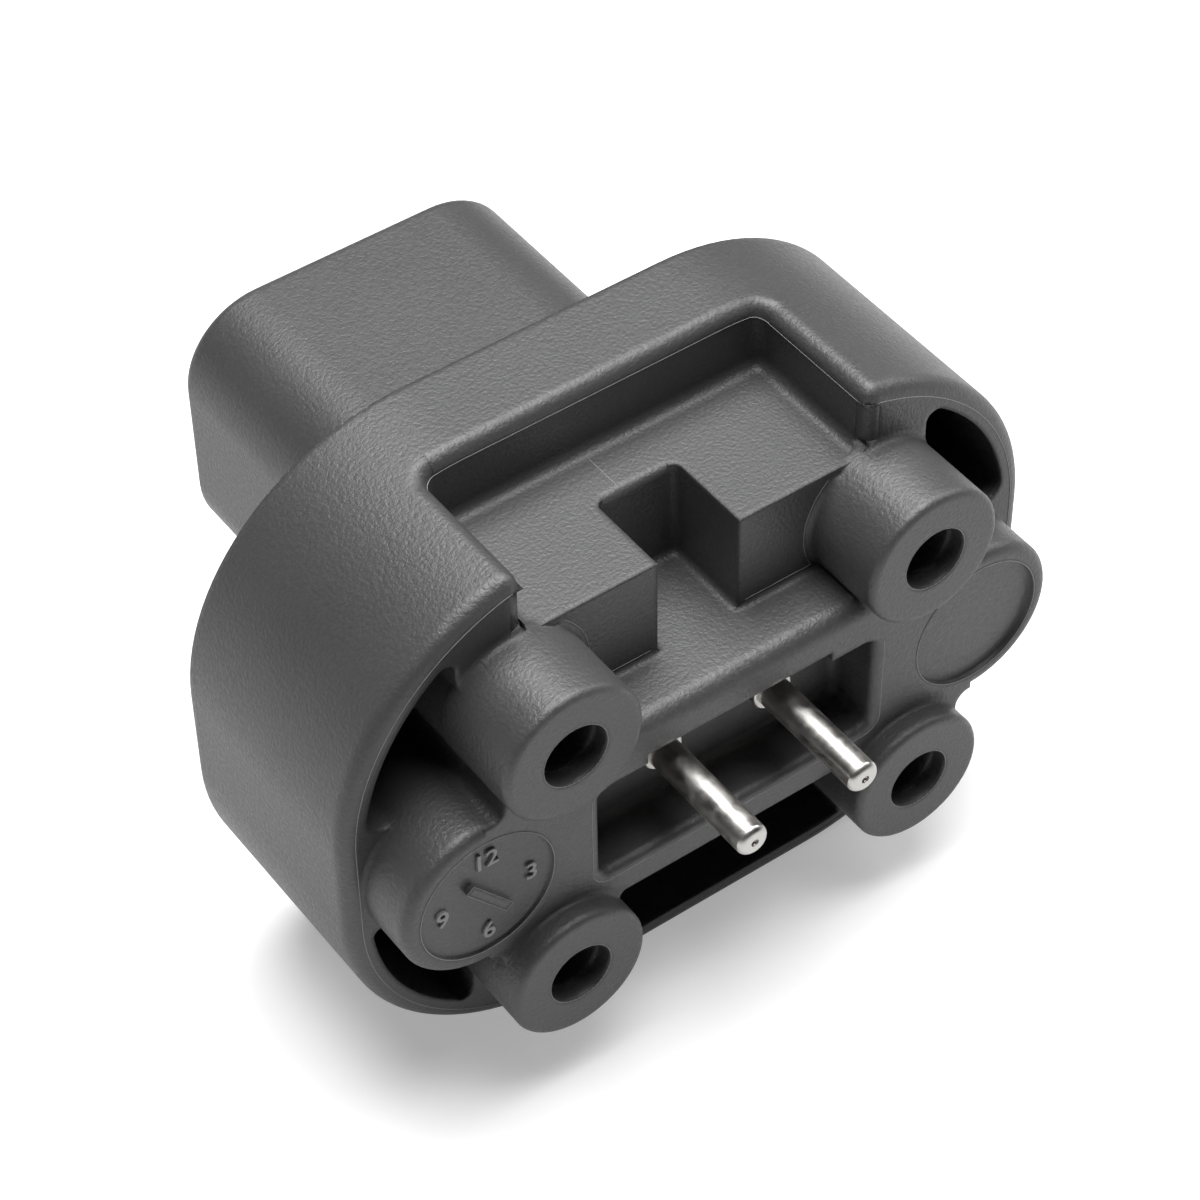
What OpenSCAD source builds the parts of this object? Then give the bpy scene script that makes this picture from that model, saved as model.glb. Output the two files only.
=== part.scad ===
// Two-pin power connector for a printed circuit board.
// One moulded housing and two turned pins that pass right through it.
// The board lies on the ends of four screw bosses, in the plane y = 0, and
// the origin is the centre of their four holes. The pin tails leave towards
// -Y, the mating socket opens towards +Y, and Z is up. Millimetres.

/* [Skirt] */
// Width of the skirt's outline
skirt_w = 47; // [46:0.5:54]
// Height of the skirt's outline
skirt_h = 35.9; // [35:0.1:42]
// Corner radius of the skirt's outline
skirt_r = 14.9; // [13.5:0.1:15.5]
// Depth of the skirt from its front face to its back face
skirt_d = 15.2; // [14:0.1:19]
// Thickness of the skirt's wall round the pockets
skirt_wall = 1.5; // [1.2:0.1:1.8]
// Radius of the skirt's outer front edge, and of the edge round the notch
skirt_edge_r = 0.9; // [0.5:0.1:1.1]
// Thickness of plastic between the pockets and the skirt's back face
pocket_back = 2.5; // [2:0.1:4]
// Distance from the bosses' centres out to the pockets' ends beside them
web_reach = 3.6; // [3.2:0.1:4]
// Width of the two webs under the lower bosses
web_w = 4.9; // [2:0.1:6]
// Radius of the pockets' ends beside the bosses
web_r = 0.7; // [0.4:0.05:0.9]
// Radius of the pockets' narrow ends above the side columns
wedge_upper_r = 1.2; // [0.6:0.1:1.5]
// Radius of the pockets' narrow ends below the side columns
wedge_lower_r = 0.5; // [0.3:0.1:1]

/* [Top notch] */
// Width of the notch in the top of the skirt
notch_w = 22.7; // [21.5:0.1:23.5]
// Depth of the notch back from the skirt's front face
notch_d = 9.4; // [8.2:0.1:11]
// Height of the flat plateau in the notch above the centre
plateau_z = 13.2; // [12:0.1:14]
// Radius of the notch's two back corners, seen from above
notch_corner_r = 0.8; // [0.75:0.05:1.4]
// Radius of the coves between the plateau and the notch's walls
notch_cove_r = 0.7; // [0.3:0.05:0.75]
// Width of the key slot that parts the plateau into two blocks
key_w = 5.5; // [3.5:0.1:7]
// Depth of the key slot back from the skirt's front face
key_d = 5.7; // [4:0.1:6.7]
// Height of the shelf, the floor of the key slot, above the centre
shelf_z = 6.4; // [5.8:0.1:7.2]
// Radius of the key slot's two back corners, seen from above
key_corner_r = 0.5; // [0.45:0.05:1.2]
// Radius of the blocks' top and front edges
block_edge_r = 0.5; // [0.2:0.05:0.8]
// Radius of the coves at the foot of the blocks
block_cove_r = 0.4; // [0.2:0.05:0.45]
// Radius of the shelf's front edge
shelf_edge_r = 1.2; // [0.5:0.1:1.4]

/* [Core] */
// Distance by which the core's front plate stands out of the skirt
core_rise = 4; // [3:0.1:5]
// Distance from the centre down to the lower edge of the front plate
core_low = 6.2; // [5.8:0.1:6.8]
// Radius of the hollows where the core's round parts meet each other
core_fillet_r = 1; // [0.8:0.1:1.4]
// Radius of the hollows where the lower edge meets the lower bosses
slot_fillet_r = 0.5; // [0.3:0.1:0.9]
// Diameter of the two round side columns
column_d = 10.8; // [10.2:0.1:11.2]
// Distance between the centres of the side columns
column_spacing = 34; // [33.4:0.1:34.6]
// Height of the columns' centres against the centre of the bosses
column_z = -0.3; // [-0.8:0.1:0.4]
// Radius of the columns' front edge
column_edge_r = 0.7; // [0.3:0.1:1]
// Diameter of the round marks sunk in the columns' ends
mark_d = 8.7; // [7.5:0.1:9]
// Depth of the mark with the pointer, on the left column
dial_depth = 0.2; // [0.1:0.05:0.6]
// Depth of the blank mark, on the right column
blank_depth = 0.35; // [0.1:0.05:0.6]
// Length of the raised pointer in the left mark
pointer_len = 3.9; // [2.5:0.1:5]
// Width of the raised pointer
pointer_w = 0.6; // [0.4:0.05:1.2]
// Height of the pointer above the floor of its mark
pointer_h = 0.4; // [0.2:0.05:0.6]
// Turn of the pointer, anticlockwise from level, seen from the board
pointer_turn = 129; // [0:1:180]

/* [Bosses] */
// Distance between the left and right screw holes
screw_x = 24.2; // [23.8:0.1:24.8]
// Distance between the upper and lower screw holes
screw_z = 18.2; // [17.6:0.1:18.8]
// Diameter of the screw bosses
boss_d = 8.9; // [8.4:0.1:9.2]
// Distance by which the bosses stand out of the front plate
boss_rise = 1.5; // [0.8:0.1:2.5]
// Radius of the bosses' outer front edge
boss_edge_r = 0.45; // [0.2:0.05:0.7]
// Diameter of the holes for thread-forming screws
bore_d = 3.8; // [3.2:0.1:3.9]
// Depth of the screw holes from the bosses' ends
bore_depth = 11.5; // [8:0.5:13]
// Diameter of the wider mouth of the screw holes
mouth_d = 4.1; // [4:0.05:5]
// Depth of the wider mouth
mouth_depth = 1.2; // [0.5:0.1:3]

/* [Pin window] */
// Width of the window in the front plate, over its rounded edge
window_w = 20.2; // [19:0.1:20.8]
// Distance from the centre up to the window's top edge, at its ends
window_top = 3.3; // [2.8:0.1:3.5]
// Distance from the centre down to the window's bottom edge
window_low = 4.6; // [4:0.1:5]
// Width of the raised middle of the window's top edge
window_step_w = 12.7; // [11:0.1:16]
// Height of the step up to the raised middle
window_step = 0.7; // [0.3:0.1:1]
// Depth of the window's pocket behind the front plate
window_d = 3.45; // [2.5:0.05:4.5]
// Radius of the rounded edge at the window's sides and bottom
window_edge_r = 0.6; // [0.3:0.05:0.8]
// Radius of the cove round the pocket's back wall
window_cove_r = 0.6; // [0.3:0.05:0.6]

/* [Pins] */
// Distance between the two pins
pin_pitch = 7.62; // [6.42:0.1:8.42]
// Height of the pins above the centre of the bosses
pin_z = 0.8; // [0.4:0.1:1.2]
// Diameter of the solder tails
tail_d = 2; // [1.6:0.1:2.2]
// Length of tail that stands out past the bosses' ends
tail_out = 4.75; // [2.5:0.05:6]
// Radius of the tails' rounded tip
tail_tip_r = 0.45; // [0.2:0.05:0.7]
// Diameter of the pins' body, where they pass through the housing
body_d = 2.6; // [2.55:0.05:3]
// Diameter of the contacts in the socket
contact_d = 2.2; // [1.8:0.05:2.5]
// Length of the body that stands in the window's pocket
collar_out = 1.45; // [0.5:0.05:2]
// Length of each contact in the socket
contact_len = 14; // [8:0.5:17]
// Radius of the rounded edge of the pins' body, in the window's pocket
collar_edge_r = 0.15; // [0.05:0.05:0.25]
// Radius of the small hollow that turning leaves in the middle of the tip
dimple_r = 0.25; // [0.1:0.05:0.4]
// Radius of the contacts' rounded nose
contact_nose_r = 0.85; // [0.4:0.05:0.85]

/* [Shroud] */
// Width of the mating shroud
shroud_w = 23; // [21:0.1:25]
// Height of the mating shroud, whose middle is level with the pins
shroud_h = 18.3; // [16:0.1:20]
// Corner radius of the shroud's outline
shroud_r = 5.35; // [3.5:0.05:7]
// Length of the shroud behind the skirt
shroud_len = 20.1; // [16:0.1:28]
// Radius of the shroud's outer end edge
shroud_edge_r = 0.6; // [0.2:0.05:0.8]
// Thickness of the shroud's wall round the socket
shroud_wall = 1.8; // [1.4:0.1:2.4]
// Distance by which the socket's floor lies in front of the skirt's back face
socket_in = 0.9; // [0:0.1:1.1]

/* [Hidden] */

$fn = 64;
// Past the face that it starts from, a cutter reaches this much further
over = 0.3;
// Two solids that are joined overlap by this much
bite = 0.5;
// Two rounds that run into each other are this much apart
step = 0.04;
// A round meets the faces beside it this far short of tangent
slip = 0.012;
charcoal = "#4b4c4e";
tinned = "#c9c9c6";

// Planes across Y
plate_y = boss_rise;
face_y = plate_y + core_rise;
back_y = face_y + skirt_d;
end_y = back_y + shroud_len;
pocket_y = back_y - pocket_back;
notch_y = face_y + notch_d;
key_y = face_y + key_d;
window_y = plate_y + window_d;
socket_y = back_y - socket_in;

// Half widths and centres in the plan seen from the board
skirt_cx = skirt_w / 2 - skirt_r;
skirt_cz = skirt_h / 2 - skirt_r;
inner_r = skirt_r - skirt_wall;
boss_x = screw_x / 2;
boss_z = screw_z / 2;
boss_r = boss_d / 2;
// The core's outline runs this far inside the bosses, which stand out whole
foot_r = boss_r - step;
column_x = column_spacing / 2;
column_r = column_d / 2;
pin_x = pin_pitch / 2;
notch_x = notch_w / 2;
key_x = key_w / 2;
// Plane in which the pockets end beside the bosses
web_x = boss_x + web_reach;
// Inner face of the two webs under the lower bosses
web_inner_x = web_x - web_w;

// Flat outline in (x, z), drawn out along Y
module along_y(y0, y1) {
    translate([0, y1, 0]) rotate([90, 0, 0]) linear_extrude(y1 - y0) children();
}

// Flat outline in (y, z), drawn out along X
module along_x(x0, x1) {
    translate([x0, 0, 0]) rotate([90, 0, 90]) linear_extrude(x1 - x0) children();
}

// Flat outline in (x, y), drawn out along Z
module along_z(z0, z1) {
    translate([0, 0, z0]) linear_extrude(z1 - z0) children();
}

// Profile in (radius, y), turned about an axis along Y
module turned(x, z) {
    translate([x, 0, z]) rotate([-90, 0, 0]) rotate_extrude() children();
}

// Shape made along Z, laid down so that it runs along Y from the plane y
module laid(y) {
    translate([0, y, 0]) rotate([-90, 0, 0]) children();
}

// The same shape on the left and on the right
module both_sides() {
    for (s = [0, 1]) mirror([s, 0, 0]) children();
}

// What a round of radius r leaves of a square corner at (a, b) that opens to
// the side (sa, sb). Drawn out, it fills a cove or cuts a rounded edge, and it
// reaches the distance o past the corner.
module corner(a, b, sa, sb, r, o) {
    c = r - slip;
    difference() {
        translate([min(a - sa * o, a + sa * c), min(b - sb * o, b + sb * c)]) square(c + o);
        translate([a + sa * c, b + sb * c]) circle(r);
    }
}

// Side view of a block, with both edges of its foot and of its top rounded
module edge_outline(w, d, r0, r1) {
    translate([-w / 2, r0]) square([w, d - r0 - r1]);
    if (r0 > 0) {
        if (w > 2 * r0) translate([r0 - w / 2, 0]) square([w - 2 * r0, d]);
        for (s = [-1, 1]) translate([s * (w / 2 - r0), r0]) circle(r0);
    }
    if (r1 > 0) {
        if (w > 2 * r1) translate([r1 - w / 2, r0]) square([w - 2 * r1, d - r0]);
        for (s = [-1, 1]) translate([s * (w / 2 - r1), d - r1]) circle(r1);
    }
}

// Block of depth d with a rounded rectangular outline of corner radius r,
// its edge rounded by r0 at the foot and by r1 at the top
module eased_block(w, h, r, d, r0 = 0, r1 = 0) {
    for (sx = [-1, 1], sy = [-1, 1]) translate([sx * (w / 2 - r), sy * (h / 2 - r), 0])
        rotate_extrude() intersection() {
            edge_outline(2 * r, d, r0, r1);
            square([r, d]);
        }
    translate([r - w / 2, 0, 0]) rotate([90, 0, 90]) linear_extrude(w - 2 * r)
        edge_outline(h, d, r0, r1);
    translate([0, h / 2 - r, 0]) rotate([90, 0, 0]) linear_extrude(h - 2 * r)
        edge_outline(w, d, r0, r1);
}

// Centre of the circle that lies at distance ra from a and rb from b, on the
// left of the line from a to b for side = 1 and on its right for side = -1
function meet(a, ra, b, rb, side) =
    let (d = norm(b - a), u = (b - a) / d, along = (ra * ra - rb * rb + d * d) / (2 * d))
    a + u * along + side * sqrt(ra * ra - along * along) * [-u[1], u[0]];

// Right half of the core's outline: a side column, two bosses and the plate
// between them, with the hollows where they meet
module core_half() {
    column = [column_x, column_z];
    upper = [boss_x, boss_z];
    lower = [boss_x, -boss_z];
    reach_c = column_r + core_fillet_r;
    reach_b = foot_r + core_fillet_r;
    upper_hollow = meet(column, reach_c, upper, reach_b, -1);
    lower_hollow = meet(column, reach_c, lower, reach_b, 1);
    slot_reach = foot_r + slot_fillet_r;
    slot_z = -core_low - slot_fillet_r;
    slot_x = boss_x - sqrt(slot_reach * slot_reach - (boss_z + slot_z) * (boss_z + slot_z));
    difference() {
        union() {
            translate(column) circle(column_r);
            translate(upper) circle(foot_r);
            translate(lower) circle(foot_r);
            polygon([lower_hollow, column, upper_hollow, upper, lower]);
            polygon([
                [-bite, -core_low], [slot_x, -core_low], [slot_x, slot_z], lower,
                [boss_x, shelf_z], [-bite, shelf_z]
            ]);
        }
        translate(upper_hollow) circle(core_fillet_r);
        translate(lower_hollow) circle(core_fillet_r);
        translate([slot_x, slot_z]) circle(slot_fillet_r + slip);
    }
}

// Rounds a pocket's narrow end between the skirt's wall and a side column
module wedge_end(s, f) {
    wall = [skirt_cx, s * skirt_cz];
    column = [column_x, column_z];
    c = meet(wall, inner_r - f, column, column_r + f, s);
    out = wall + (c - wall) * (skirt_r / (inner_r - f));
    difference() {
        polygon([c, out, [skirt_w / 2, column_z], column]);
        translate(c) circle(f);
    }
}

// Rounds a pocket's end between the skirt's wall and the solid over a boss
module web_end(s, f) {
    wall = [skirt_cx, s * skirt_cz];
    dx = web_x + f - skirt_cx;
    c = wall + [dx, s * sqrt((inner_r - f) * (inner_r - f) - dx * dx)];
    out = wall + (c - wall) * (skirt_r / (inner_r - f));
    difference() {
        polygon([c, [web_x - bite, c[1]], [web_x - bite, out[1] + s], [out[0], out[1] + s], out]);
        translate(c) circle(f);
    }
}

// Right half of the pockets' outline, between the skirt's wall and the core
module pocket_half() {
    difference() {
        intersection() {
            union() {
                for (s = [-1, 1]) translate([skirt_cx, s * skirt_cz]) circle(inner_r);
                square([2 * skirt_w / 2 - 2 * skirt_wall, 2 * skirt_cz], center = true);
                square([2 * skirt_cx, skirt_h - 2 * skirt_wall], center = true);
            }
            translate([-bite, -skirt_h]) square([skirt_w, 2 * skirt_h]);
        }
        core_half();
        translate([-skirt_w, 0]) square([skirt_w + web_x, skirt_h]);
        translate([web_inner_x, -skirt_h]) square([web_x - web_inner_x, skirt_h - boss_z]);
        wedge_end(1, wedge_upper_r);
        wedge_end(-1, wedge_lower_r);
        web_end(1, web_r);
        web_end(-1, web_r);
    }
}

// Cutter for the notch in the skirt's top, with its rounded edges
module notch_cut() {
    ahead = notch_corner_r + 2 * over;
    far = skirt_h / 2 - plateau_z + over;
    translate([0, notch_y - (notch_d + ahead) / 2, plateau_z])
        eased_block(notch_w, notch_d + ahead, notch_corner_r, far, notch_cove_r);
    both_sides() notch_side_edge();
    notch_back_edge();
}

// Rounds the edge of the notch's right wall, along the top and down the front
module notch_side_edge() {
    r = skirt_edge_r;
    in = r - slip;
    wall = [skirt_cx, skirt_cz];
    cx = notch_x + in;
    far = skirt_r - in;
    c = [cx, skirt_cz + sqrt(far * far - (cx - skirt_cx) * (cx - skirt_cx))];
    out = wall + (c - wall) * ((skirt_r + over) / far);
    up = skirt_h / 2 + over;
    cove_top = plateau_z + notch_cove_r;
    difference() {
        union() {
            along_y(face_y - over, notch_y - notch_corner_r)
                polygon([c, [notch_x - over, c[1]], [notch_x - over, up], [out[0], up], out]);
            along_z(cove_top, c[1]) translate([notch_x - over, face_y - over]) square(in + over);
            along_z(min(cove_top, boss_z + boss_r - step), cove_top + step)
                translate([notch_x, face_y - over]) square([in, in + over]);
        }
        along_y(face_y + in, back_y) translate(c) circle(r);
        along_z(boss_z, c[1]) translate([cx, face_y + in]) circle(r);
        translate([cx, face_y + in, c[1]]) sphere(r);
    }
}

// Rounds the notch's back edge, along the flat top and down the skirt's shoulder
module notch_back_edge() {
    along_x(-skirt_cx, skirt_cx) corner(notch_y, skirt_h / 2, 1, -1, skirt_edge_r, over);
    both_sides() {
        intersection() {
            turned(skirt_cx, skirt_cz) corner(skirt_r, notch_y, -1, 1, skirt_edge_r, over);
            translate([skirt_cx, face_y, plateau_z])
                cube([notch_x - notch_corner_r - skirt_cx, skirt_d, skirt_h]);
        }
        notch_corner_edge();
    }
}

// Rounds the edge over the notch's right back corner. The top falls away to
// the side there, so the round leans with it.
module notch_corner_edge() {
    r = skirt_edge_r;
    in = r - slip;
    far = skirt_r - in;
    x = notch_x - notch_corner_r;
    reach = notch_corner_r + in;
    back_z = sqrt(far * far - (x - skirt_cx) * (x - skirt_cx));
    side_z = sqrt(far * far - (x + reach - skirt_cx) * (x + reach - skirt_cx));
    lean = (back_z - side_z) / 2 / reach;
    intersection() {
        translate([x, notch_y - notch_corner_r, skirt_cz + (back_z + side_z) / 2])
            rotate(a = atan(sqrt(2) * lean), v = [1, 1, 0]) rotate_extrude() difference() {
                square([reach, r + 3 * over]);
                translate([reach * sqrt(1 + lean * lean), 0]) circle(r - step);
            }
        translate([x, notch_y - notch_corner_r, plateau_z]) cube([2 * reach, 2 * reach, skirt_h]);
    }
}

// Cutter for the key slot between the two blocks, with its rounded edges
module key_cut() {
    block_in = block_edge_r - slip;
    ahead = 2 * block_edge_r + core_rise;
    translate([0, key_y - (key_d + ahead) / 2, shelf_z])
        eased_block(key_w, key_d + ahead, key_corner_r, plateau_z - shelf_z + over, block_cove_r);
    along_x(key_corner_r - key_x, key_x - key_corner_r)
        corner(key_y, plateau_z, 1, -1, block_edge_r, over);
    both_sides() {
        along_y(face_y + block_in, key_y - key_corner_r)
            corner(key_x, plateau_z, 1, -1, block_edge_r, over);
        translate([key_x - key_corner_r, key_y - key_corner_r, 0]) rotate_extrude()
            intersection() {
                corner(key_corner_r, plateau_z, 1, -1, block_edge_r, over);
                square([2 * key_corner_r + block_edge_r, 2 * plateau_z]);
            }
        along_z(shelf_z, plateau_z - block_in)
            corner(key_x, face_y, 1, 1, block_edge_r, over);
        along_x(key_x + block_in, notch_x)
            corner(face_y, plateau_z, 1, -1, block_edge_r, over);
        difference() {
            translate([key_x - over, face_y - over, plateau_z - block_in])
                cube(block_in + over);
            translate([key_x + block_in, face_y + block_in, plateau_z - block_in])
                sphere(block_edge_r);
        }
    }
}

// Coves on the skirt's front plane, at the foot of the blocks and round the
// upper bosses
module face_coves() {
    foot = block_edge_r / 2;
    both_sides() {
        along_x(key_x + block_edge_r, boss_x) corner(face_y, shelf_z, -1, 1, block_cove_r, foot);
        translate([key_x + block_edge_r, face_y + block_edge_r, 0]) rotate_extrude()
            corner(block_edge_r, shelf_z, 1, 1, block_cove_r, foot);
        intersection() {
            turned(boss_x, boss_z) corner(boss_r, face_y, 1, -1, block_cove_r, foot);
            union() {
                translate([key_x, plate_y, shelf_z])
                    cube([web_x - key_x, core_rise + foot, plateau_z - block_edge_r - shelf_z]);
                translate([notch_x + foot, plate_y, shelf_z])
                    cube([web_x - notch_x - foot, core_rise + foot, plateau_z + notch_cove_r - shelf_z]);
            }
        }
    }
}

// The front plate and side columns, from the plate's face back to the skirt,
// with the rounded edge of the shelf and of the columns
module core() {
    difference() {
        along_y(plate_y, face_y) for (s = [0, 1]) mirror([s, 0]) core_half();
        difference() {
            along_x(-boss_x, boss_x) corner(plate_y, shelf_z, 1, -1, shelf_edge_r, over);
            both_sides() turned(boss_x, boss_z) square([foot_r, face_y + over]);
        }
        both_sides() difference() {
            turned(column_x, column_z) intersection() {
                corner(column_r, plate_y, -1, 1, column_edge_r, over);
                square(2 * column_r);
            }
            translate([0, 0, -skirt_h]) cube([column_x, skirt_d, 2 * skirt_h]);
        }
    }
}

// One screw boss, from its end back into the skirt, with its rounded edge
module boss() {
    turned(boss_x, boss_z) difference() {
        square([boss_r, face_y + bite]);
        corner(boss_r, 0, -1, 1, boss_edge_r, over);
    }
}

// Cutter for one screw hole, with its wider mouth and drill-shaped end
module bore() {
    turned(boss_x, boss_z) {
        translate([0, -over]) square([bore_d / 2, bore_depth + over]);
        translate([0, -over]) square([mouth_d / 2, mouth_depth + over]);
    }
}

// Cutter for the window's pocket, with its rounded edges and coves
module window_cut() {
    e = window_edge_r;
    half = window_w / 2 - e;
    floor_z = e - window_low;
    h = window_top - floor_z;
    mid = (window_top + floor_z) / 2;
    depth = window_d + over;
    top_r = e + over;
    shift = 2 * over;
    intersection() {
        translate([0, 0, mid - shift]) laid(plate_y - over)
            eased_block(2 * half, h + 2 * shift, top_r, depth, 0, window_cove_r);
        translate([0, 0, mid + shift]) laid(plate_y - over)
            eased_block(2 * half, h + 2 * shift, e, depth, 0, window_cove_r);
    }
    along_x(e - half, half - e) corner(plate_y, floor_z, 1, -1, e, over);
    both_sides() {
        along_z(floor_z + e, window_top - top_r) corner(half, plate_y, 1, 1, e, over);
        turned(half - e, floor_z + e) corner(e, plate_y, 1, 1, e, over);
        turned(half + e - top_r, window_top - top_r) corner(top_r - e, plate_y, 1, 1, e, over / 2);
    }
    translate([-window_step_w / 2, plate_y - over, window_top - bite])
        cube([window_step_w, depth - window_cove_r, bite + window_step]);
}

// Cutters for the two marks in the columns' ends
module marks() {
    turned(-column_x, column_z) translate([0, plate_y - over]) square([mark_d / 2, dial_depth + over]);
    turned(column_x, column_z) translate([0, plate_y - over]) square([mark_d / 2, blank_depth + over]);
}

// The raised pointer on the floor of the left mark
module pointer() {
    translate([-column_x, plate_y + dial_depth - pointer_h, column_z]) rotate([0, -pointer_turn, 0])
        translate([-pointer_len / 2, 0, -pointer_w / 2]) cube([pointer_len, pointer_h + bite, pointer_w]);
}

// The mating shroud and its socket
module shroud() {
    translate([0, 0, pin_z]) laid(back_y - bite)
        eased_block(shroud_w, shroud_h, shroud_r, shroud_len + bite, 0, shroud_edge_r);
}

module socket() {
    w = shroud_w - 2 * shroud_wall;
    h = shroud_h - 2 * shroud_wall;
    r = shroud_r - shroud_wall;
    translate([0, 0, pin_z]) laid(socket_y) eased_block(w, h, r, end_y + over - socket_y, 0, 0);
}

// The skirt and the shroud, with the pockets, the notch and the socket
module shell() {
    difference() {
        union() {
            laid(face_y) eased_block(skirt_w, skirt_h, skirt_r, skirt_d, skirt_edge_r, 0);
            shroud();
        }
        along_y(face_y - over, pocket_y) for (s = [0, 1]) mirror([s, 0]) pocket_half();
        socket();
    }
}

module housing() {
    color(charcoal) difference() {
        union() {
            difference() {
                shell();
                notch_cut();
                key_cut();
            }
            core();
            for (sx = [0, 1], sz = [0, 1]) mirror([sx, 0, 0]) mirror([0, 0, sz]) boss();
        }
        for (sx = [0, 1], sz = [0, 1]) mirror([sx, 0, 0]) mirror([0, 0, sz]) bore();
        window_cut();
        marks();
        for (s = [-1, 1]) turned(s * pin_x, pin_z)
            translate([0, window_y - over]) square([body_d / 2, socket_y - window_y + 2 * over]);
    }
    color(charcoal) face_coves();
    color(charcoal) pointer();
}

// One turned pin: solder tail, body in the housing and contact in the socket
module pin(x) {
    tail_r = tail_d / 2;
    body_r = body_d / 2;
    contact_r = contact_d / 2;
    shoulder_y = window_y - collar_out;
    nose_y = socket_y + contact_len;
    color(tinned) turned(x, pin_z) difference() {
        union() {
            translate([0, -tail_out]) square([tail_r, tail_out + shoulder_y + bite]);
            translate([0, shoulder_y]) square([body_r, socket_y - shoulder_y]);
            translate([0, shoulder_y]) square([contact_r, nose_y - shoulder_y]);
        }
        corner(tail_r, -tail_out, -1, 1, tail_tip_r, over);
        corner(contact_r, nose_y, -1, -1, contact_nose_r, over);
        corner(body_r, shoulder_y, -1, 1, collar_edge_r, over);
        translate([0, -tail_out]) circle(dimple_r);
    }
}

module contact_pin_left() {
    pin(-pin_x);
}

module contact_pin_right() {
    pin(pin_x);
}

housing();
contact_pin_left();
contact_pin_right();
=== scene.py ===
# %% [markdown]
# # A two-pin power connector for a circuit board
# The connector is a moulded plastic housing with two turned pins in it. The
# solid parts come from the CAD model and are never moved or remeshed. This
# lesson gives them their finishes, and adds the fine things that a mould
# leaves on plastic: parting lines and the raised numbers of a dial.

# %% Load the solid parts
import math

import bpy
from mathutils import Matrix, Vector


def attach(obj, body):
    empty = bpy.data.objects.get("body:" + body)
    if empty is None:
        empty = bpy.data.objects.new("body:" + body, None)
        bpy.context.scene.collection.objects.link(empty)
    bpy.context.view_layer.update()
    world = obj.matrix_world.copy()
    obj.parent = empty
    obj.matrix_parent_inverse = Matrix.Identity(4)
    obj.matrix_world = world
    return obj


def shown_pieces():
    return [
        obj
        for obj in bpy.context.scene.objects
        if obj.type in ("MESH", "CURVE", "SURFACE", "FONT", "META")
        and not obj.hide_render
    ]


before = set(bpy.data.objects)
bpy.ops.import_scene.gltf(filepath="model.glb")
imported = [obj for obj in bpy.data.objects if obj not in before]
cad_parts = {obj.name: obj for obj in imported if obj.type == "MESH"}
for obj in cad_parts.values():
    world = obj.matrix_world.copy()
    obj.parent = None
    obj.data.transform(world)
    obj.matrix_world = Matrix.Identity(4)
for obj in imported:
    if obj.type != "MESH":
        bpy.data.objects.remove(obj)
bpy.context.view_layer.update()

pins = [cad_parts["contact_pin_left"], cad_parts["contact_pin_right"]]

# %% [markdown]
# ## Sizes that the details are set by
# The details sit on faces of the housing, so they need the places of those
# faces. Written once in millimetres, with y counted from the board, they are
# the same values as in the CAD source.

# %% Sizes in millimetres
MM = 0.001
plate_y = 1.5
face_y = 5.5
notch_y = 14.9
back_y = 20.7
skirt_half = (23.5, 17.95)
skirt_radius = 14.9
edge_radius = 0.9
notch_half = 11.35
notch_corner = 0.8
plateau_z = 13.2
shelf_z = 6.4
key_half = 2.75
key_back_y = 11.7
boss_centre = (12.1, 9.1)
boss_radius = 4.45
hole_radius = 2.05
mark_radius = 4.35
mark_depth = 0.2
dial_centre = (-17.0, -0.3)
print("skirt", [2 * v for v in skirt_half], "mm")


# %% [markdown]
# ## Working with operators
# Blender's operators act on whatever is selected, and the loaded parts arrive
# selected. So each piece starts from an empty selection, and small helpers do
# that, put the finished piece's place into its mesh, and fasten it to the part.
# A shape that comes again at another place is modelled once and then copied.

# %% Start, finish and copy a piece
def nothing_selected():
    """Leaves edit mode and selects nothing."""
    if bpy.context.object and bpy.context.object.mode != "OBJECT":
        bpy.ops.object.mode_set(mode="OBJECT")
    bpy.ops.object.select_all(action="DESELECT")


def settle(name):
    """Names the active piece and puts its place and turn into its mesh."""
    piece = bpy.context.object
    piece.name = piece.data.name = name
    bpy.ops.object.transform_apply(location=True, rotation=True, scale=True)
    return piece


def fasten(piece):
    """Lets the piece ride with the housing."""
    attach(piece, "root")
    print(piece.name, len(piece.data.vertices), "points")


def copy_line(piece, name, dx, dz):
    """A copy of a moulded line with its own mesh, dx and dz millimetres away."""
    nothing_selected()
    piece.select_set(True)
    bpy.context.view_layer.objects.active = piece
    bpy.ops.object.duplicate()
    bpy.ops.transform.translate(value=(dx * MM, 0, dz * MM))
    twin = settle(name)
    painted_highlight_pieces.append(twin)
    fasten(twin)


nothing_selected()

# %% [markdown]
# ## Parting lines
# Where two halves of a mould meet, plastic creeps into the joint and leaves a
# hair-thin ridge that catches the light. On this housing it follows the foot
# of the skirt's rounded front edge, climbs round the corners of the notch and
# runs along its walls. It could be a bump in the material, but a bump has no
# outline, so each ridge is a thin wire pressed half into the surface: one
# point is extruded along the path like a pen, and the path is given a round
# section.

# %% Draw a ridge along a path
# Every piece in this list gets the flash finish, whose pale colour is a painted
# highlight.
painted_highlight_pieces = []
hair_width, thread_width = 0.05, 0.06


def arc(centre, radius, start, end, steps):
    """Points of an arc, with angles in degrees, from the first to the last."""
    turns = [math.radians(start + (end - start) * i / steps) for i in range(steps + 1)]
    return [(centre[0] + radius * math.cos(t), centre[1] + radius * math.sin(t))
            for t in turns]


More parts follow.
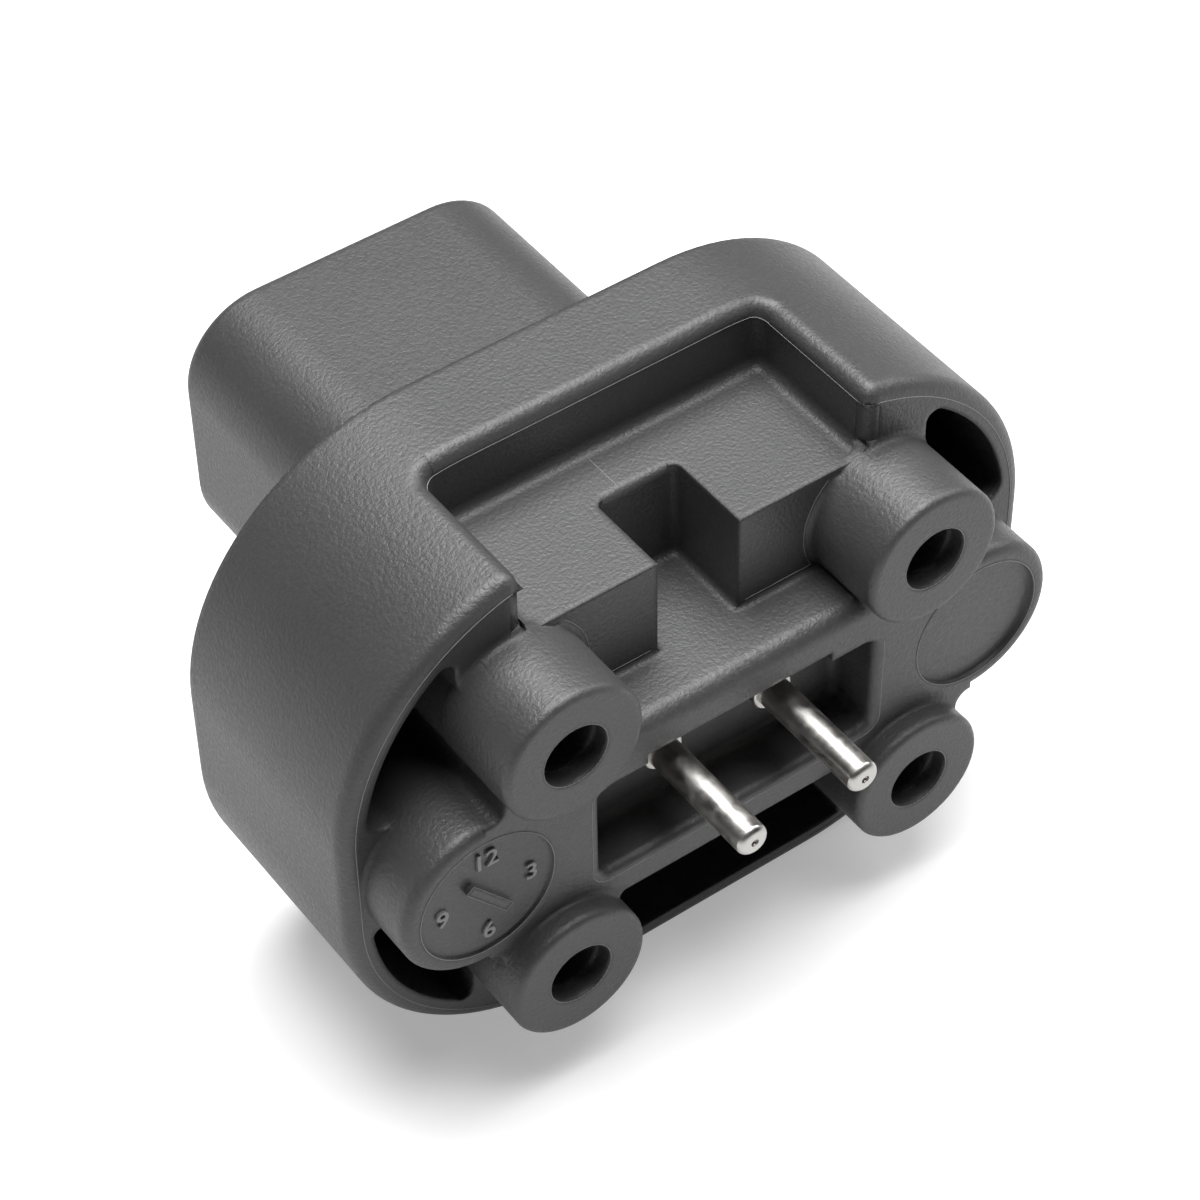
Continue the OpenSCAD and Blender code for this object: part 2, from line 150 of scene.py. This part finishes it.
def ridge(name, path, width):
    """A wire of this width along a path of points in millimetres."""
    nothing_selected()
    bpy.ops.mesh.primitive_plane_add(size=MM, location=[v * MM for v in path[0]])
    bpy.ops.object.mode_set(mode="EDIT")
    bpy.ops.mesh.merge(type="CENTER")
    for here, there in zip(path, path[1:]):
        step = [(b - a) * MM for a, b in zip(here, there)]
        bpy.ops.mesh.extrude_region_move(TRANSFORM_OT_translate={"value": step})
    bpy.ops.object.mode_set(mode="OBJECT")
    bpy.ops.object.convert(target="CURVE")
    bpy.context.object.data.bevel_depth = width * MM / 2
    bpy.context.object.data.bevel_resolution = 1
    bpy.context.object.data.use_fill_caps = True
    bpy.ops.object.convert(target="MESH")
    bpy.ops.object.shade_smooth()
    piece = settle(name)
    painted_highlight_pieces.append(piece)
    fasten(piece)
    return piece


# %% [markdown]
# ## The skirt's front line
# The longest parting line is on the skirt. Only its right half is worked out,
# and the left half is the same points mirrored, so that the wire is one piece.

# %% The skirt's front line, round both corners of the notch
skirt_cx = skirt_half[0] - skirt_radius
skirt_cz = skirt_half[1] - skirt_radius


def skirt_front_path():
    """The right half of the line, from under the skirt to the notch's middle."""
    foot = skirt_radius - edge_radius
    side_x = notch_half + edge_radius
    top_z = skirt_cz + math.sqrt(foot**2 - (side_x - skirt_cx) ** 2)
    end_turn = math.degrees(math.asin((top_z - skirt_cz) / foot))
    right = arc((skirt_cx, skirt_cz), foot, 0, end_turn, 24)
    lower = arc((skirt_cx, -skirt_cz), foot, -90, 0, 36)
    half = [(x, face_y, z) for x, z in lower + right]
    climb = [(side_x - edge_radius * math.sin(t),
              face_y + edge_radius * (1 - math.cos(t)), top_z)
             for t in (math.radians(a) for a in range(15, 91, 15))]
    run = [(notch_half, notch_y - notch_corner, top_z)]
    corner_x = notch_half - notch_corner
    back_z = skirt_cz + math.sqrt(foot**2 - (corner_x - skirt_cx) ** 2)
    corner = arc((corner_x, notch_y - notch_corner), notch_corner, 0, 90, 6)
    turn = [(x, y, top_z + (back_z - top_z) * i / 6) for i, (x, y) in enumerate(corner)]
    shoulder_turn = math.degrees(math.acos((corner_x - skirt_cx) / foot))
    shoulder = [(x, notch_y, z) for x, z in arc(
        (skirt_cx, skirt_cz), foot, shoulder_turn, 90, 6)[1:]]
    return half + climb + run + turn + shoulder


right_half = skirt_front_path()
left_half = [(-x, y, z) for x, y, z in right_half]
ridge("skirt_parting_line", left_half + right_half[::-1], thread_width)

# %% [markdown]
# ## The line round the skirt's back edge
# The cavity's other half ends at the back face of the skirt, where a sharp
# edge would chip. The real edge is broken by a hair-thin line of flash, which
# shows as a bright thread against the shroud; that brightness is partly light on
# the thin wire and partly the flash finish's painted highlight. It runs right
# round the outline, a little inside it so that it doesn't make the part any larger.

# %% Draw the skirt's back line
back_line_width, inset = 0.035, 0.02
skirt_centres = ((skirt_cx, skirt_cz), (-skirt_cx, skirt_cz),
                 (-skirt_cx, -skirt_cz), (skirt_cx, -skirt_cz))
outline = []
for quarter, centre in enumerate(skirt_centres):
    outline += arc(centre, skirt_radius - inset, 90 * quarter, 90 * quarter + 90, 30)
outline.append(outline[0])
ridge("skirt_back_line", [(x, back_y - inset, z) for x, z in outline], back_line_width)

# %% [markdown]
# ## Steel lines round the bosses and under the blocks
# Behind the upper bosses the mould has round steel inserts, and each leaves a
# fine ring on the face beside the boss. A straight one lies a little above the
# shelf, where the block's face begins. They are drawn in the same way, and the
# left ones from the same points mirrored.

# %% Rings and straight lines on the skirt's front plane
cove, block_edge = 0.4, 0.5
bx, bz = boss_centre
ring_radius = boss_radius + cove
line_z = shelf_z + cove
ring_start = 180 - math.degrees(math.asin((line_z - bz) / ring_radius))
ring_top = 180 - math.degrees(math.asin((plateau_z - block_edge - bz) / ring_radius))
ring = [(x, face_y, z)
        for x, z in arc(boss_centre, ring_radius, ring_start, ring_top, 18)]
straight = [(key_half + block_edge, face_y, line_z), ring[0]]
for side, s in (("left", -1), ("right", 1)):
    for name, path in (("boss_ring", ring), ("block_line", straight)):
        ridge(f"{name}_{side}", [(s * x, y, z) for x, y, z in path], hair_width)

# %% [markdown]
# ## Rims of the holes, the marks and the window
# Every hole in the housing was closed off in the mould by a steel pin or
# insert, and each insert leaves a raised rim as thin as a hair. Closed circles
# go round the screw holes and the two marks, and an open path goes round the
# sides and the bottom of the window. One screw hole's rim is drawn, and the
# other three are copies of it.

# %% Draw the rims
outset, board_y = 0.02, 0.015
hole_circle = arc((-bx, bz), hole_radius + outset, 0, 360, 40)
hole_rim = ridge("hole_rim_upper_left", [(x, board_y, z) for x, z in hole_circle],
                 hair_width)
copy_line(hole_rim, "hole_rim_upper_right", 2 * bx, 0)
copy_line(hole_rim, "hole_rim_lower_left", 0, -2 * bz)
copy_line(hole_rim, "hole_rim_lower_right", 2 * bx, -2 * bz)

# These two names are the other way round: mark_rim_left is on the +x side, and
# mark_rim_right goes round the dial.
mark_circle = arc((-dial_centre[0], dial_centre[1]), mark_radius + outset, 0, 360, 60)
mark_rim = ridge("mark_rim_left", [(x, plate_y, z) for x, z in mark_circle],
                 thread_width)
copy_line(mark_rim, "mark_rim_right", 2 * dial_centre[0], 0)

window_half, window_low, window_high, window_corner = 10.1, -4.6, 2.7, 1.2
window_right = arc((window_half - window_corner, window_low + window_corner),
                   window_corner, -90, 0, 8) + [(window_half, window_high)]
window_path = [(-x, z) for x, z in window_right[::-1]] + window_right
ridge("window_rim", [(x, plate_y, z) for x, z in window_path], hair_width)

# %% [markdown]
# ## The front corners of the notch
# Each side wall of the notch turns into the skirt's front face with a round
# edge, and stands on the round back of a boss with a small cove. Both are
# blocks that have one edge bevelled: the upright one is bevelled round, and the
# one along the foot hollow. The edge is found by its place: two of its three
# coordinates are given, and None stands for the one that it runs along.
#
# Each block is modelled once and the other side is its mirror image, whose
# faces have to be turned outwards again. Only what is selected gets its shading
# by angle, and here that is the mirror image: its edges over 40 degrees are
# sharp, and the left block is smooth all over.

# %% Round the corners and fill their feet
def corner_block(name, low, high, edge_at, width, profile):
    """A block with the edge at edge_at bevelled, and its mirror image."""
    nothing_selected()
    bpy.ops.mesh.primitive_cube_add(
        size=1, location=[(a + b) / 2 * MM for a, b in zip(low, high)],
        scale=[(b - a) * MM for a, b in zip(low, high)])
    block = settle(f"{name}_left")
    bpy.ops.object.mode_set(mode="EDIT")
    bpy.ops.mesh.select_mode(type="EDGE")
    bpy.ops.mesh.select_all(action="DESELECT")
    bpy.ops.object.mode_set(mode="OBJECT")
    for edge in block.data.edges:
        ends = [block.data.vertices[v].co / MM for v in edge.vertices]
        edge.select = all(abs(end[i] - place) < 0.01 for end in ends
                          for i, place in enumerate(edge_at) if place is not None)
    bpy.ops.object.mode_set(mode="EDIT")
    bpy.ops.mesh.bevel(offset=width * MM, segments=8, profile=profile, affect="EDGES")
    bpy.ops.mesh.select_mode(type="VERT")
    bpy.ops.object.mode_set(mode="OBJECT")
    block.data.shade_smooth()
    fasten(block)
    bpy.ops.object.duplicate()
    bpy.ops.transform.resize(value=(-1, 1, 1), center_override=(0, 0, 0))
    twin = settle(f"{name}_right")
    bpy.ops.object.mode_set(mode="EDIT")
    bpy.ops.mesh.select_all(action="SELECT")
    bpy.ops.mesh.normals_make_consistent(inside=False)
    bpy.ops.object.mode_set(mode="OBJECT")
    bpy.ops.object.shade_smooth_by_angle(angle=math.radians(40))
    fasten(twin)


corner_top, under_wall, behind_face = 16.5, 0.05, 0.005
corner_low = (-notch_half - edge_radius - under_wall, face_y + behind_face, plateau_z)
corner_high = (-notch_half, face_y + edge_radius, corner_top)
corner_block("notch_corner", corner_low, corner_high,
             (corner_high[0], corner_low[1], None),
             width=edge_radius - 0.02, profile=0.5)

foot_size, sunk = 0.5, 0.1
foot_low = (-notch_half - sunk, face_y + cove, plateau_z - sunk)
foot_high = (-notch_half + foot_size, face_y + edge_radius + 0.02, plateau_z + foot_size)
corner_block("notch_foot", foot_low, foot_high, (foot_high[0], None, foot_high[2]),
             width=foot_size - 0.01, profile=0.12)

# %% [markdown]
# ## A witness mark on the plateau
# Two inserts meet under the notch, a little to the left of the middle. Their
# joint has printed a short straight hair across the plateau, from the back
# wall's cove to the edge of the key slot.

# %% Draw the witness mark
witness_x, back_cove = -0.95, 0.7
ridge("witness_mark", [(witness_x, notch_y - back_cove, plateau_z),
                       (witness_x, key_back_y, plateau_z)], hair_width)

# %% [markdown]
# ## The pointer's edge
# The dial's pointer is a low bar that belongs to the housing. Its insert has
# left a rim along the top edge, drawn as a closed path round the bar.

# %% Draw the pointer's rim
bar_reach, bar_half_width, bar_height, bar_turn = 1.95, 0.3, 0.2, math.radians(129)
bar_cos, bar_sin = math.cos(bar_turn), math.sin(bar_turn)
bar = []
for end, side in ((1, 1), (-1, 1), (-1, -1), (1, -1), (1, 1)):
    a, b = end * bar_reach, side * bar_half_width
    bar.append((dial_centre[0] + a * bar_cos - b * bar_sin, plate_y - bar_height,
                dial_centre[1] + a * bar_sin + b * bar_cos))
ridge("pointer_rim", bar, hair_width)

# %% [markdown]
# ## Numbers on the dial
# The round mark on the left column is a dial that a moulder sets by turning a
# steel insert: a pointer that is part of the housing, and raised numbers round
# it. The numbers here are plain ones, like those of a clock. Text is typed,
# turned into a mesh and stood on the floor of the mark.

# %% Raise four numbers round the pointer
number_ring, number_size, number_height, number_edge = 2.9, 1.7, 0.16, 0.03
number_y = plate_y + mark_depth + 0.02
for number, turn in (("12", 90), ("3", 0), ("6", -90), ("9", 180)):
    nothing_selected()
    place = (dial_centre[0] + number_ring * math.cos(math.radians(turn)), number_y,
             dial_centre[1] + number_ring * math.sin(math.radians(turn)))
    bpy.ops.object.text_add(location=[v * MM for v in place],
                            rotation=(math.pi / 2, 0, 0))
    text = bpy.context.object.data
    text.body = number
    text.size = number_size * MM
    text.align_x = "CENTER"
    text.align_y = "CENTER"
    text.extrude = number_height * MM
    text.bevel_depth = number_edge * MM
    text.bevel_resolution = 1
    text.resolution_u = 4
    bpy.ops.object.convert(target="MESH")
    piece = settle(f"dial_number_{number}")
    bpy.ops.object.mode_set(mode="EDIT")
    bpy.ops.mesh.select_all(action="SELECT")
    bpy.ops.mesh.remove_doubles(threshold=1e-6)
    bpy.ops.mesh.normals_make_consistent(inside=False)
    bpy.ops.object.mode_set(mode="OBJECT")
    # The numbers take the flash finish, so they are painted pale as a painted highlight.
    painted_highlight_pieces.append(piece)
    fasten(piece)


# %% [markdown]
# ## How the finishes are built
# A finish is a small network of nodes. Colours are written as the hex values
# that a paint chart gives, which are sRGB, and the shader wants linear light,
# so one function turns them. Another adds a node, sets it and links it.

# %% Colour and node helpers
def linear(code):
    """A hex colour such as 4B4C4E as linear red, green and blue."""
    parts = [int(code[i:i + 2], 16) / 255 for i in (0, 2, 4)]
    return [c / 12.92 if c <= 0.04045 else ((c + 0.055) / 1.055) ** 2.4
            for c in parts] + [1]


def add_node(tree, kind, settings=None, values=None, links=None):
    """Adds a node, sets its options and sockets, and links its inputs."""
    node = tree.nodes.new(kind)
    for key, value in (settings or {}).items():
        setattr(node, key, value)
    for key, value in (values or {}).items():
        node.inputs[key].default_value = value
    for key, output in (links or {}).items():
        tree.links.new(output, node.inputs[key])
    return node


def new_finish(name):
    """A material with no nodes yet, and its tree."""
    material = bpy.data.materials.new(name)
    material.use_nodes = True
    material.node_tree.nodes.clear()
    return material, material.node_tree


# %% [markdown]
# ## Glass-filled nylon with a spark-eroded grain
# The housing is dark grey nylon with glass fibre in it, moulded in a cavity
# whose walls were spark eroded. That gives a dull surface covered in fine
# rounded pits, about a tenth of a millimetre across, with faint flow clouds and
# small pale specks in the colour. A pixel of the picture covers about 0.06 mm,
# so the pits are drawn at 0.12 mm, as coarse as they need to be to show. A
# tumbled moulding has no sharp edge left, so the shader also lets the light run
# round every edge over half a millimetre.

# %% The housing's plastic
grain_mm, pit_depth_mm, cloud_mm, speck_gap_mm, soft_edge_mm = 0.12, 0.042, 9, 0.9, 0.5
nylon, tree = new_finish("spark eroded glass-filled nylon")
place = add_node(tree, "ShaderNodeTexCoord").outputs["Object"]
grain = add_node(tree, "ShaderNodeTexNoise", values={
    "Scale": 1 / (grain_mm * 2 * MM), "Detail": 2.0, "Roughness": 0.6},
    links={"Vector": place})
clouds = add_node(tree, "ShaderNodeTexNoise", values={
    "Scale": 1 / (cloud_mm * MM), "Detail": 3.0, "Roughness": 0.55},
    links={"Vector": place})
specks = add_node(tree, "ShaderNodeTexVoronoi", values={
    "Scale": 1 / (speck_gap_mm * MM), "Randomness": 1.0}, links={"Vector": place})
tone = add_node(tree, "ShaderNodeMix", {"data_type": "RGBA"},
                {"A": linear("393939"), "B": linear("424243")},
                {"Factor": clouds.outputs["Fac"]})
speckle = add_node(tree, "ShaderNodeMapRange", values={
    "From Min": 0.06, "From Max": 0.03, "To Min": 0.0, "To Max": 0.35},
    links={"Value": specks.outputs["Distance"]})
colour = add_node(tree, "ShaderNodeMix", {"data_type": "RGBA"}, {"B": linear("6E6E6E")},
                  {"Factor": speckle.outputs["Result"], "A": tone.outputs["Result"]})
rough = add_node(tree, "ShaderNodeMapRange", values={
    "From Min": 0.3, "From Max": 0.7, "To Min": 0.36, "To Max": 0.50},
    links={"Value": grain.outputs["Fac"]})
soft_edges = add_node(tree, "ShaderNodeBevel", {"samples": 6},
                      {"Radius": soft_edge_mm * MM})
bump = add_node(tree, "ShaderNodeBump",
                values={"Strength": 1.0, "Distance": pit_depth_mm * MM},
                links={"Height": grain.outputs["Fac"],
                       "Normal": soft_edges.outputs["Normal"]})
shader = add_node(tree, "ShaderNodeBsdfPrincipled", values={"IOR": 1.53}, links={
    "Base Color": colour.outputs["Result"], "Roughness": rough.outputs["Result"],
    "Normal": bump.outputs["Normal"]})
add_node(tree, "ShaderNodeOutputMaterial", links={"Surface": shader.outputs["BSDF"]})
print("grain", grain_mm, "mm")

# %% [markdown]
# ## The thin flash, with a painted highlight
# Flash has no grain, because it never touched the eroded wall. It is smooth, and
# its colour is painted much paler than the housing's: a painted highlight that
# stands for the light its thin ridges catch.

# %% The flash's finish, a painted highlight
flash_painted_highlight, tree = new_finish("smooth nylon flash")
# The pale grey base colour is a painted highlight, not the colour of the nylon.
shader = add_node(tree, "ShaderNodeBsdfPrincipled", values={
    "Base Color": linear("7E7E7E"), "Roughness": 0.45, "IOR": 1.53})
add_node(tree, "ShaderNodeOutputMaterial", links={"Surface": shader.outputs["BSDF"]})

# %% [markdown]
# ## Tin-plated brass
# The pins are turned from brass rod and plated with tin, a soft, slightly warm
# white metal. Tumbling in a box has left fine scratches along them and dull
# patches, so the roughness changes from place to place. The scratches are drawn
# a millimetre long and 0.12 mm apart, which is two pixels, so that they show.

# %% The pins' tin plating
scratch_mm, scratch_long_mm, scratch_deep_mm, patch_mm = 0.12, 1.0, 0.015, 0.8
tin, tree = new_finish("scratched tin plating")
place = add_node(tree, "ShaderNodeTexCoord").outputs["Object"]
along = add_node(tree, "ShaderNodeMapping",
                 values={"Scale": (1.0, scratch_mm / scratch_long_mm, 1.0)},
                 links={"Vector": place})
scratches = add_node(tree, "ShaderNodeTexNoise", values={
    "Scale": 1 / (scratch_mm * MM), "Detail": 3.0, "Roughness": 0.7},
    links={"Vector": along.outputs["Vector"]})
patches = add_node(tree, "ShaderNodeTexNoise", values={
    "Scale": 1 / (patch_mm * MM), "Detail": 4.0, "Roughness": 0.6},
    links={"Vector": place})
tone = add_node(tree, "ShaderNodeMix", {"data_type": "RGBA"},
                {"A": linear("A9A7A3"), "B": linear("C9C7C3")},
                {"Factor": patches.outputs["Fac"]})
rough = add_node(tree, "ShaderNodeMapRange", values={
    "From Min": 0.35, "From Max": 0.65, "To Min": 0.28, "To Max": 0.46},
    links={"Value": patches.outputs["Fac"]})
bump = add_node(tree, "ShaderNodeBump",
                values={"Strength": 0.2, "Distance": scratch_deep_mm * MM},
                links={"Height": scratches.outputs["Fac"]})
shader = add_node(tree, "ShaderNodeBsdfPrincipled", values={"Metallic": 1.0}, links={
    "Base Color": tone.outputs["Result"], "Roughness": rough.outputs["Result"],
    "Normal": bump.outputs["Normal"]})
add_node(tree, "ShaderNodeOutputMaterial", links={"Surface": shader.outputs["BSDF"]})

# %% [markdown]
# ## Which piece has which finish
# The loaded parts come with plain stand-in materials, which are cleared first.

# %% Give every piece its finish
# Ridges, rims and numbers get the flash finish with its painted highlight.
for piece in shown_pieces():
    piece.data.materials.clear()
    piece.data.materials.append(
        tin if piece in pins else flash_painted_highlight if piece in painted_highlight_pieces else nylon)

# %% [markdown]
# ## A white table
# The connector rests on the long flat side of its skirt, on a white sheet that
# is lit from below as well, like a light box. That fills the faces towards the
# camera from underneath and leaves only a faint shadow close to the part. The
# camera sees more of the sheet's own glow than the connector does.

# %% The white table
nothing_selected()
floor_z = -skirt_half[1] * MM
bpy.ops.mesh.primitive_plane_add(size=3, location=(0, 0, floor_z))
table = settle("white_table")
paper, tree = new_finish("back-lit white paper")


def sheet(code, glow):
    """Paper of this colour that also gives off light of this strength."""
    face = add_node(tree, "ShaderNodeBsdfDiffuse", values={"Color": linear(code)})
    light = add_node(tree, "ShaderNodeEmission",
                     values={"Color": (1, 1, 1, 1), "Strength": glow})
    both = add_node(tree, "ShaderNodeAddShader")
    tree.links.new(face.outputs["BSDF"], both.inputs[0])
    tree.links.new(light.outputs["Emission"], both.inputs[1])
    return both.outputs["Shader"]


seen = add_node(tree, "ShaderNodeLightPath")
show = add_node(tree, "ShaderNodeMixShader",
                links={"Fac": seen.outputs["Is Camera Ray"]})
tree.links.new(sheet("C8C8C8", 0.22), show.inputs[1])
tree.links.new(sheet("DCDCDC", 0.36), show.inputs[2])
add_node(tree, "ShaderNodeOutputMaterial", links={"Surface": show.outputs["Shader"]})
table.data.materials.append(paper)

# %% [markdown]
# ## A dim sky
# Walls that face sideways inside the notch are nearly black in a studio shot,
# because nothing bright stands beside the part. So the sky is dim, and the
# light comes from the lamps and the table.

# %% The dim sky
world = bpy.data.worlds.new("dim sky")
world.use_nodes = True
bpy.context.scene.world = world
tree = world.node_tree
tree.nodes.clear()
sky = add_node(tree, "ShaderNodeBackground",
               values={"Color": (1, 1, 1, 1), "Strength": 0.03})
add_node(tree, "ShaderNodeOutputWorld", links={"Surface": sky.outputs["Background"]})


# %% [markdown]
# ## Lamps
# One large soft lamp hangs overhead, a little behind the part, and gives the
# tops their light. A weak one on the right draws the highlights on the round
# bosses. The faces towards the camera have only the light of the table.

# %% The lamps
def lamp(name, place, size, power):
    """A square soft lamp that faces the connector's middle."""
    middle = Vector((0, 0.012, 0))
    turn = (middle - Vector(place)).to_track_quat("-Z", "Y").to_euler()
    nothing_selected()
    bpy.ops.object.light_add(type="AREA", location=place, rotation=turn)
    light_object = bpy.context.object
    light_object.name = name
    light_object.data.size = size
    light_object.data.energy = power
    print(name, power, "W")


lamp("overhead_lamp", (0.03, 0.07, 0.42), 0.38, 4.5)
lamp("right_lamp", (0.30, 0.02, 0.24), 0.20, 0.5)

# %% [markdown]
# ## The camera
# The camera stands where the photographer's did, which was worked out from the
# places of the bosses and the skirt's outline. Its three directions are set as
# the columns of a turn.

# %% The camera
bpy.ops.object.camera_add(location=(-0.084097, -0.104038, 0.151368))
camera = bpy.context.object
right = Vector((0.809371, -0.587192, -0.011098))
up = Vector((0.428093, 0.576926, 0.695624))
ahead = Vector((0.402062, 0.567769, -0.718321))
camera.rotation_euler = Matrix((right, up, -ahead)).transposed().to_euler()
camera.data.sensor_width = 36
camera.data.lens = 109.68
camera.data.clip_start = 0.01
bpy.context.scene.camera = camera
bpy.context.scene.view_settings.view_transform = "Standard"
